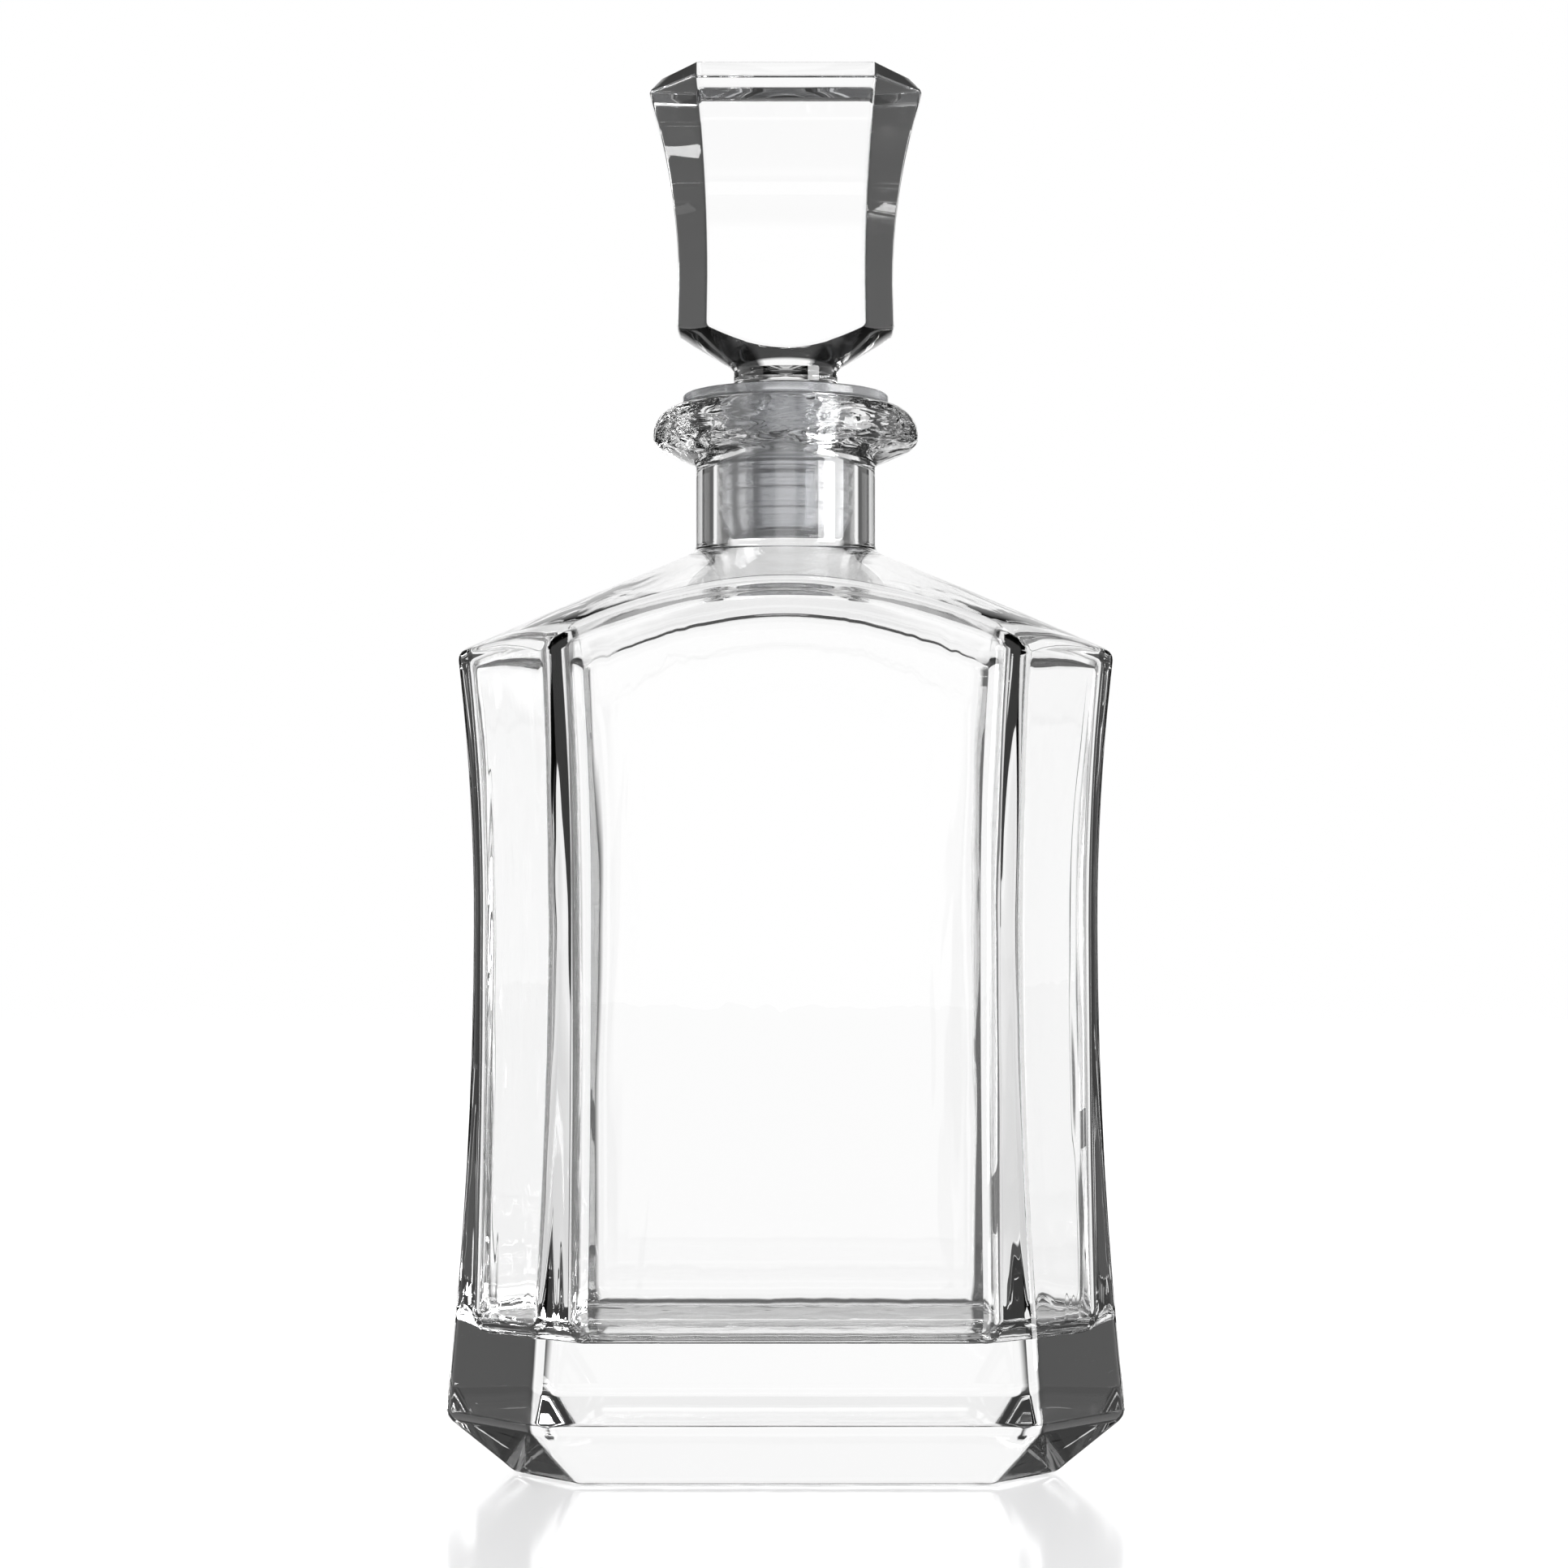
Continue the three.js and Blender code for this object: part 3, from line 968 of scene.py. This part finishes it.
    def build(self, glass: bpy.types.Material, moulded_glass: bpy.types.Material) -> bpy.types.Object:
        """Models the bottle and gives it its finishes.

        Args:
            glass: The finish of the outside.
            moulded_glass: The finish of the cavity.

        Returns:
            The finished piece.
        """
        inner = self._inside().to_object()
        shell = self._outside()
        outer = shell.to_object()
        inner.data.materials.append(moulded_glass)
        outer.data.materials.append(glass)
        inner.select_set(True)
        outer.select_set(True)
        bpy.context.view_layer.objects.active = outer
        bpy.ops.object.join()
        bpy.ops.object.mode_set(mode="EDIT")
        shell.pick(Pick.EDGES, lambda e: len(e.link_faces) == 1)
        bpy.ops.mesh.bridge_edge_loops()
        piece = shell.finish()
        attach(piece, "bottle")
        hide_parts("decanter_body")
        return piece


@dataclass
class StopperHead:
    """The solid glass head of the stopper, with its neck and the peg inside the sleeve."""

    root: Plan = Plan(0.0097, 0.039, 0.026, 0.0282, 0.011)
    waist: Plan = Plan(0.0184, 0.0386, 0.0258, 0.028, 0.0112)
    rim: Plan = Plan(0.0534, 0.0494, 0.035, 0.0318, 0.0104)
    crown: Plan = Plan(0.0565, 0.0444, 0.030, 0.032, 0.005)
    root_ring: float = 0.001
    neck_radius: float = 0.0094
    neck_height: float = 0.0034
    neck_flare: float = 0.0016
    neck_flare_end: float = 0.0007
    slope: float = 0.61
    gap: float = 0.0003
    corner: float = 0.0003
    peg_radius: float = 0.0069
    peg_chamfer: float = 0.0012
    peg_ring: float = 0.003
    edge_rounding: float = 0.0006
    strips: Strips = Strips(20, 8, 4)
    rings: int = 5
    levels: int = 9

    def __post_init__(self) -> None:
        """Takes the overall place from the frame."""
        low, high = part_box("stopper_head")
        self.peg_bottom = low.z
        self.sleeve_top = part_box("stopper_sleeve")[1].z
        lift = high.z - self.crown.height
        self.root, self.waist, self.rim, self.crown = (
            plan.at(plan.height + lift) for plan in (self.root, self.waist, self.rim, self.crown)
        )
        self.neck_bottom = self.sleeve_top + self.gap
        self.cone_root = self.neck_bottom + self.neck_height

    def underside(self, x: float, y: float) -> float:
        """Returns the height of the head's conical underside over a place."""
        return self.cone_root + self.slope * (math.hypot(x, y) - self.neck_radius)

    def build(self, glass: bpy.types.Material) -> bpy.types.Object:
        """Models the head and gives it its finish.

        Args:
            glass: The finish.

        Returns:
            The finished piece.
        """
        shell = Shell("stopper_glass")
        low = self.peg_bottom
        skirt = self.root.at(low)
        flare = [flared(self.root, self.waist, self.rim, h)
                 for h in steps(self.waist.height, self.rim.height, self.levels)]
        shell.stack([skirt, self.root.at(self.root.height + self.root_ring), *flare, self.crown])
        shell.open_end(low)
        shell.open_end(self.crown.height)
        shell.cut_strips(self.strips)
        shell.fill_end(self.crown.height)
        hole = self.neck_radius + self.neck_flare
        shell.bridge_to_circle(low, hole, self.strips.around(), self.rings, away=-0.01)
        shell.drape(low, self.underside)
        rounded = shell.round_edges(self.edge_rounding, segments=4, sharpest=18)
        LOG.info("stopper_glass: %d edges rounded", rounded)
        shell.continue_round(self._peg_profile(hole))
        shell.close_end()
        piece = shell.finish()
        piece.data.materials.append(glass)
        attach(piece, "head")
        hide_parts("stopper_head")
        return piece

    def _peg_profile(self, hole: float) -> Profile:
        """Gives the profile of the neck and the peg.

        Args:
            hole: The radius where the neck's flare starts on the underside of the head.

        Returns:
            Points from the underside of the head down to the end of the peg.
        """
        neck, peg, c = self.neck_radius, self.peg_radius, self.corner
        start = (hole, self.underside(0, hole))
        flare = bend(start, (neck, self.cone_root), (neck, self.cone_root - self.neck_flare_end), count=5)
        peg_top, chamfer_top = self.neck_bottom - self.peg_ring, self.peg_bottom + self.peg_chamfer
        return [
            *flare[1:],
            (neck, self.neck_bottom + c),
            (neck - c, self.neck_bottom),
            (peg + c, self.neck_bottom),
            (peg, self.neck_bottom - c),
            *((peg, z) for z in steps(peg_top, chamfer_top, 4)),
            (peg - self.peg_chamfer / 3, self.peg_bottom + self.peg_chamfer / 3),
            (peg - self.peg_chamfer, self.peg_bottom),
        ]


@dataclass
class StopperSleeve:
    """The plastic sleeve: a finned plug, a flange that rests on the lip, and a collar. It is a cup."""

    plug_radius: float = 0.0117
    fin_radius: float = 0.0122
    tip_width: float = 0.0022
    tip_height: float = 0.0046
    floor: float = 0.0024
    cup_radius: float = 0.0072
    collar_radius: float = 0.0096
    collar_height: float = 0.0012
    flange_thickness: float = 0.0018
    fin_count: int = 6
    fin_thickness: float = 0.0014
    corner: float = 0.0003
    around: int = 128

    def __post_init__(self) -> None:
        """Takes the overall sizes from the frame."""
        low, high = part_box("stopper_sleeve")
        self.bottom, self.top = low.z, high.z
        self.flange_radius = high.x
        self.flange_top = self.top - self.collar_height
        self.flange_bottom = self.flange_top - self.flange_thickness

    def _fins(self) -> Profile:
        """Models the rounded fins along the plug.

        Returns:
            Their points, lowest first.
        """
        lowest = self.bottom + self.tip_height
        pitch = (self.flange_bottom - lowest) / self.fin_count
        depth = self.fin_radius - self.plug_radius
        points: Profile = []
        for i in range(self.fin_count):
            middle = lowest + pitch * (i + 0.5)
            for share in steps(-1, 1, 8):
                height = middle + share * self.fin_thickness / 2
                points.append((self.plug_radius + depth * math.cos(share * math.pi / 2) ** 0.7, height))
        return points

    def _profile(self) -> Profile:
        """Gives the whole profile.

        Returns:
            Points from the underside round to the floor of the cup.
        """
        c = self.corner
        return [
            (self.plug_radius - self.tip_width - c, self.bottom),
            (self.plug_radius - self.tip_width + c / 2, self.bottom + c),
            (self.plug_radius - c / 2, self.bottom + self.tip_height - c),
            (self.plug_radius, self.bottom + self.tip_height + c),
            *self._fins(),
            (self.plug_radius, self.flange_bottom - c),
            (self.plug_radius + c, self.flange_bottom),
            (self.flange_radius - c, self.flange_bottom),
            (self.flange_radius, self.flange_bottom + c),
            (self.flange_radius, self.flange_top - c),
            (self.flange_radius - c, self.flange_top),
            (self.collar_radius + c, self.flange_top),
            (self.collar_radius, self.flange_top + c),
            (self.collar_radius, self.top - c),
            (self.collar_radius - c, self.top),
            (self.cup_radius + c, self.top),
            (self.cup_radius, self.top - c),
            (self.cup_radius, self.bottom + self.floor + c),
            (self.cup_radius - c, self.bottom + self.floor),
        ]

    def build(self, plastic: bpy.types.Material) -> bpy.types.Object:
        """Models the sleeve and gives it its finish.

        Args:
            plastic: The finish.

        Returns:
            The finished piece.
        """
        shell = Shell("sleeve_plastic")
        shell.turn(self._profile(), self.around)
        piece = shell.finish()
        piece.data.materials.append(plastic)
        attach(piece, "sleeve")
        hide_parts("stopper_sleeve")
        return piece


# Setting.


@dataclass
class Studio:
    """The camera, the pale floor and the light round the object."""

    distance: float = 0.650
    eye_height: float = 0.0963
    aim_up: float = 2.244
    lens: float = 82.73
    sensor: float = 36.0
    sideways: float = -0.0003
    floor_size: float = 6.0
    floor_drop: float = 0.0001
    walls: tuple[tuple[float, float], ...] = (
        (0, 1), (12, 1), (17, 0.05), (49, 0.05), (53, 1), (64, 0.95), (76, 0.75), (90, 0.7),
    )
    ceiling: tuple[tuple[float, float], ...] = (
        (0, 1), (37, 1), (43, 0.06), (62, 0.06), (74, 0.6), (90, 0.6),
    )
    softbox_angle: float = 64.0
    softbox_distance: float = 0.62
    softbox_height: float = 0.26
    softbox_size: tuple[float, float] = (0.32, 0.5)
    softbox_power: float = 5.0

    def build(self) -> None:
        """Sets up the whole studio."""
        self._camera()
        self._floor()
        self._surroundings()
        self._softbox()
        bpy.context.scene.view_settings.view_transform = "Standard"

    def _camera(self) -> None:
        """Places the camera in front of the object, just below its middle."""
        bpy.ops.object.camera_add(
            location=(self.sideways, -self.distance, self.eye_height),
            rotation=(math.radians(90 + self.aim_up), 0, 0),
        )
        camera = bpy.context.object
        camera.data.lens = self.lens
        camera.data.sensor_width = self.sensor
        camera.data.clip_start = 0.01
        bpy.context.scene.camera = camera

    def _floor(self) -> None:
        """Lays a pale floor, just under the object."""
        bpy.ops.object.select_all(action="DESELECT")
        bpy.ops.mesh.primitive_plane_add(size=self.floor_size, location=(0, 0, -self.floor_drop))
        floor = bpy.context.object
        floor.name = "studio_floor"
        floor.data.materials.append(FloorFinish("pale_floor").material())

    def _surroundings(self) -> None:
        """Makes the room, which the glass shows, and plain white, which the camera sees straight."""
        world = bpy.data.worlds.new("studio_room")
        bpy.context.scene.world = world
        world.use_nodes = True
        tree = world.node_tree
        tree.nodes.clear()
        room = tree.nodes.new("ShaderNodeBackground")
        tree.links.new(self._room_light(tree), room.inputs["Color"])
        white = tree.nodes.new("ShaderNodeBackground")
        white.inputs["Color"].default_value = (1, 1, 1, 1)
        out = tree.nodes.new("ShaderNodeOutputWorld")
        surface = straight_or_through_glass(tree, white.outputs[0], room.outputs[0])
        tree.links.new(surface, out.inputs["Surface"])

    def _room_light(self, tree: bpy.types.NodeTree) -> bpy.types.NodeSocket:
        """Works out how bright the room is in each direction.

        Bright panels stand behind, in front and beside, with dark screens between them, under a dim ceiling.

        Args:
            tree: The world's nodes.

        Returns:
            The brightness.
        """
        nodes, links = tree.nodes, tree.links
        place = nodes.new("ShaderNodeTexCoord")
        split = nodes.new("ShaderNodeSeparateXYZ")
        links.new(place.outputs["Generated"], split.inputs["Vector"])
        away = []
        for axis in ("X", "Y"):
            distance = nodes.new("ShaderNodeMath")
            distance.operation = "ABSOLUTE"
            links.new(split.outputs[axis], distance.inputs[0])
            away.append(distance)
        turn = self._angle(nodes, links, "ARCTAN2", [part.outputs[0] for part in away])
        rise = self._angle(nodes, links, "ARCSINE", [split.outputs["Z"]])
        walls = self._bands(nodes, links, turn, self.walls)
        ceiling = self._bands(nodes, links, rise, self.ceiling)
        light = nodes.new("ShaderNodeMix")
        light.data_type = "RGBA"
        light.blend_type = "MULTIPLY"
        light.inputs["Factor"].default_value = 1.0
        links.new(walls, light.inputs["A"])
        links.new(ceiling, light.inputs["B"])
        return light.outputs["Result"]

    def _softbox(self) -> None:
        """Stands one tall soft light in front, to the right."""
        turn = math.radians(self.softbox_angle)
        across, forward = self.softbox_distance * math.sin(turn), self.softbox_distance * math.cos(turn)
        bpy.ops.object.light_add(
            type="AREA",
            location=(across, -forward, self.softbox_height),
            rotation=(math.radians(90), 0, turn),
        )
        light = bpy.context.object.data
        light.shape = "RECTANGLE"
        light.size, light.size_y = self.softbox_size
        light.energy = self.softbox_power

    @staticmethod
    def _angle(nodes: bpy.types.Nodes, links: bpy.types.NodeLinks, kind: str,
               parts: list[bpy.types.NodeSocket]) -> bpy.types.NodeSocket:
        """Works out an angle in the world's nodes.

        Args:
            nodes: The world's nodes.
            links: The world's links.
            kind: Which inverse function gives the angle.
            parts: What the function works on.

        Returns:
            The angle as a share of a right angle.
        """
        angle = nodes.new("ShaderNodeMath")
        angle.operation = kind
        for i, part in enumerate(parts):
            links.new(part, angle.inputs[i])
        share = nodes.new("ShaderNodeMath")
        share.operation = "DIVIDE"
        share.inputs[1].default_value = math.pi / 2
        links.new(angle.outputs[0], share.inputs[0])
        return share.outputs[0]

    @staticmethod
    def _bands(nodes: bpy.types.Nodes, links: bpy.types.NodeLinks, share: bpy.types.NodeSocket,
               bands: tuple[tuple[float, float], ...]) -> bpy.types.NodeSocket:
        """Turns an angle into brightness.

        Args:
            nodes: The world's nodes.
            links: The world's links.
            share: The angle as a share of a right angle.
            bands: Angles in degrees, each with the brightness there, in order from 0 to 90.

        Returns:
            The brightness.
        """
        ramp = nodes.new("ShaderNodeValToRGB")
        links.new(share, ramp.inputs["Fac"])
        stops = ramp.color_ramp.elements
        for angle, _ in bands[1:-1]:
            stops.new(angle / 90)
        for stop, (angle, level) in zip(stops, bands):
            stop.position = angle / 90
            stop.color = (level, level, level, 1)
        return ramp.outputs["Color"]


def main() -> None:
    """Builds every piece in order and reports it."""
    logging.basicConfig(level=logging.INFO, format="%(name)s: %(message)s")
    lip_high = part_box("decanter_body")[1].z
    lip_low = lip_high - Bottle.lip_height
    waves = Unevenness(per_metre=45, stretch=0.25, height=0.00012)
    ripples = Unevenness(per_metre=130, stretch=3.2, height=0.0009, detail=1.2, twist=1.2,
                         lowest=lip_low, highest=lip_high)
    streaks = Unevenness(per_metre=120, stretch=0.10, height=0.0003, detail=1.5, twist=0.5,
                         lowest=-1.0, highest=lip_low - 0.02, fade=0.02)
    glass = GlassFinish("clear_glass", (waves, ripples)).material()
    moulded = GlassFinish("clear_glass_inside", (waves, streaks)).material()
    head_glass = GlassFinish("clear_head_glass", (waves,)).material()
    plastic = SleeveFinish("clear_plastic").material()
    pieces = (
        Bottle().build(glass, moulded),
        StopperSleeve().build(plastic),
        StopperHead().build(head_glass),
    )
    for piece in pieces:
        LOG.info("%s: %d faces", piece.name, len(piece.data.polygons))
    Studio().build()


if __name__ == "__main__":
    main()
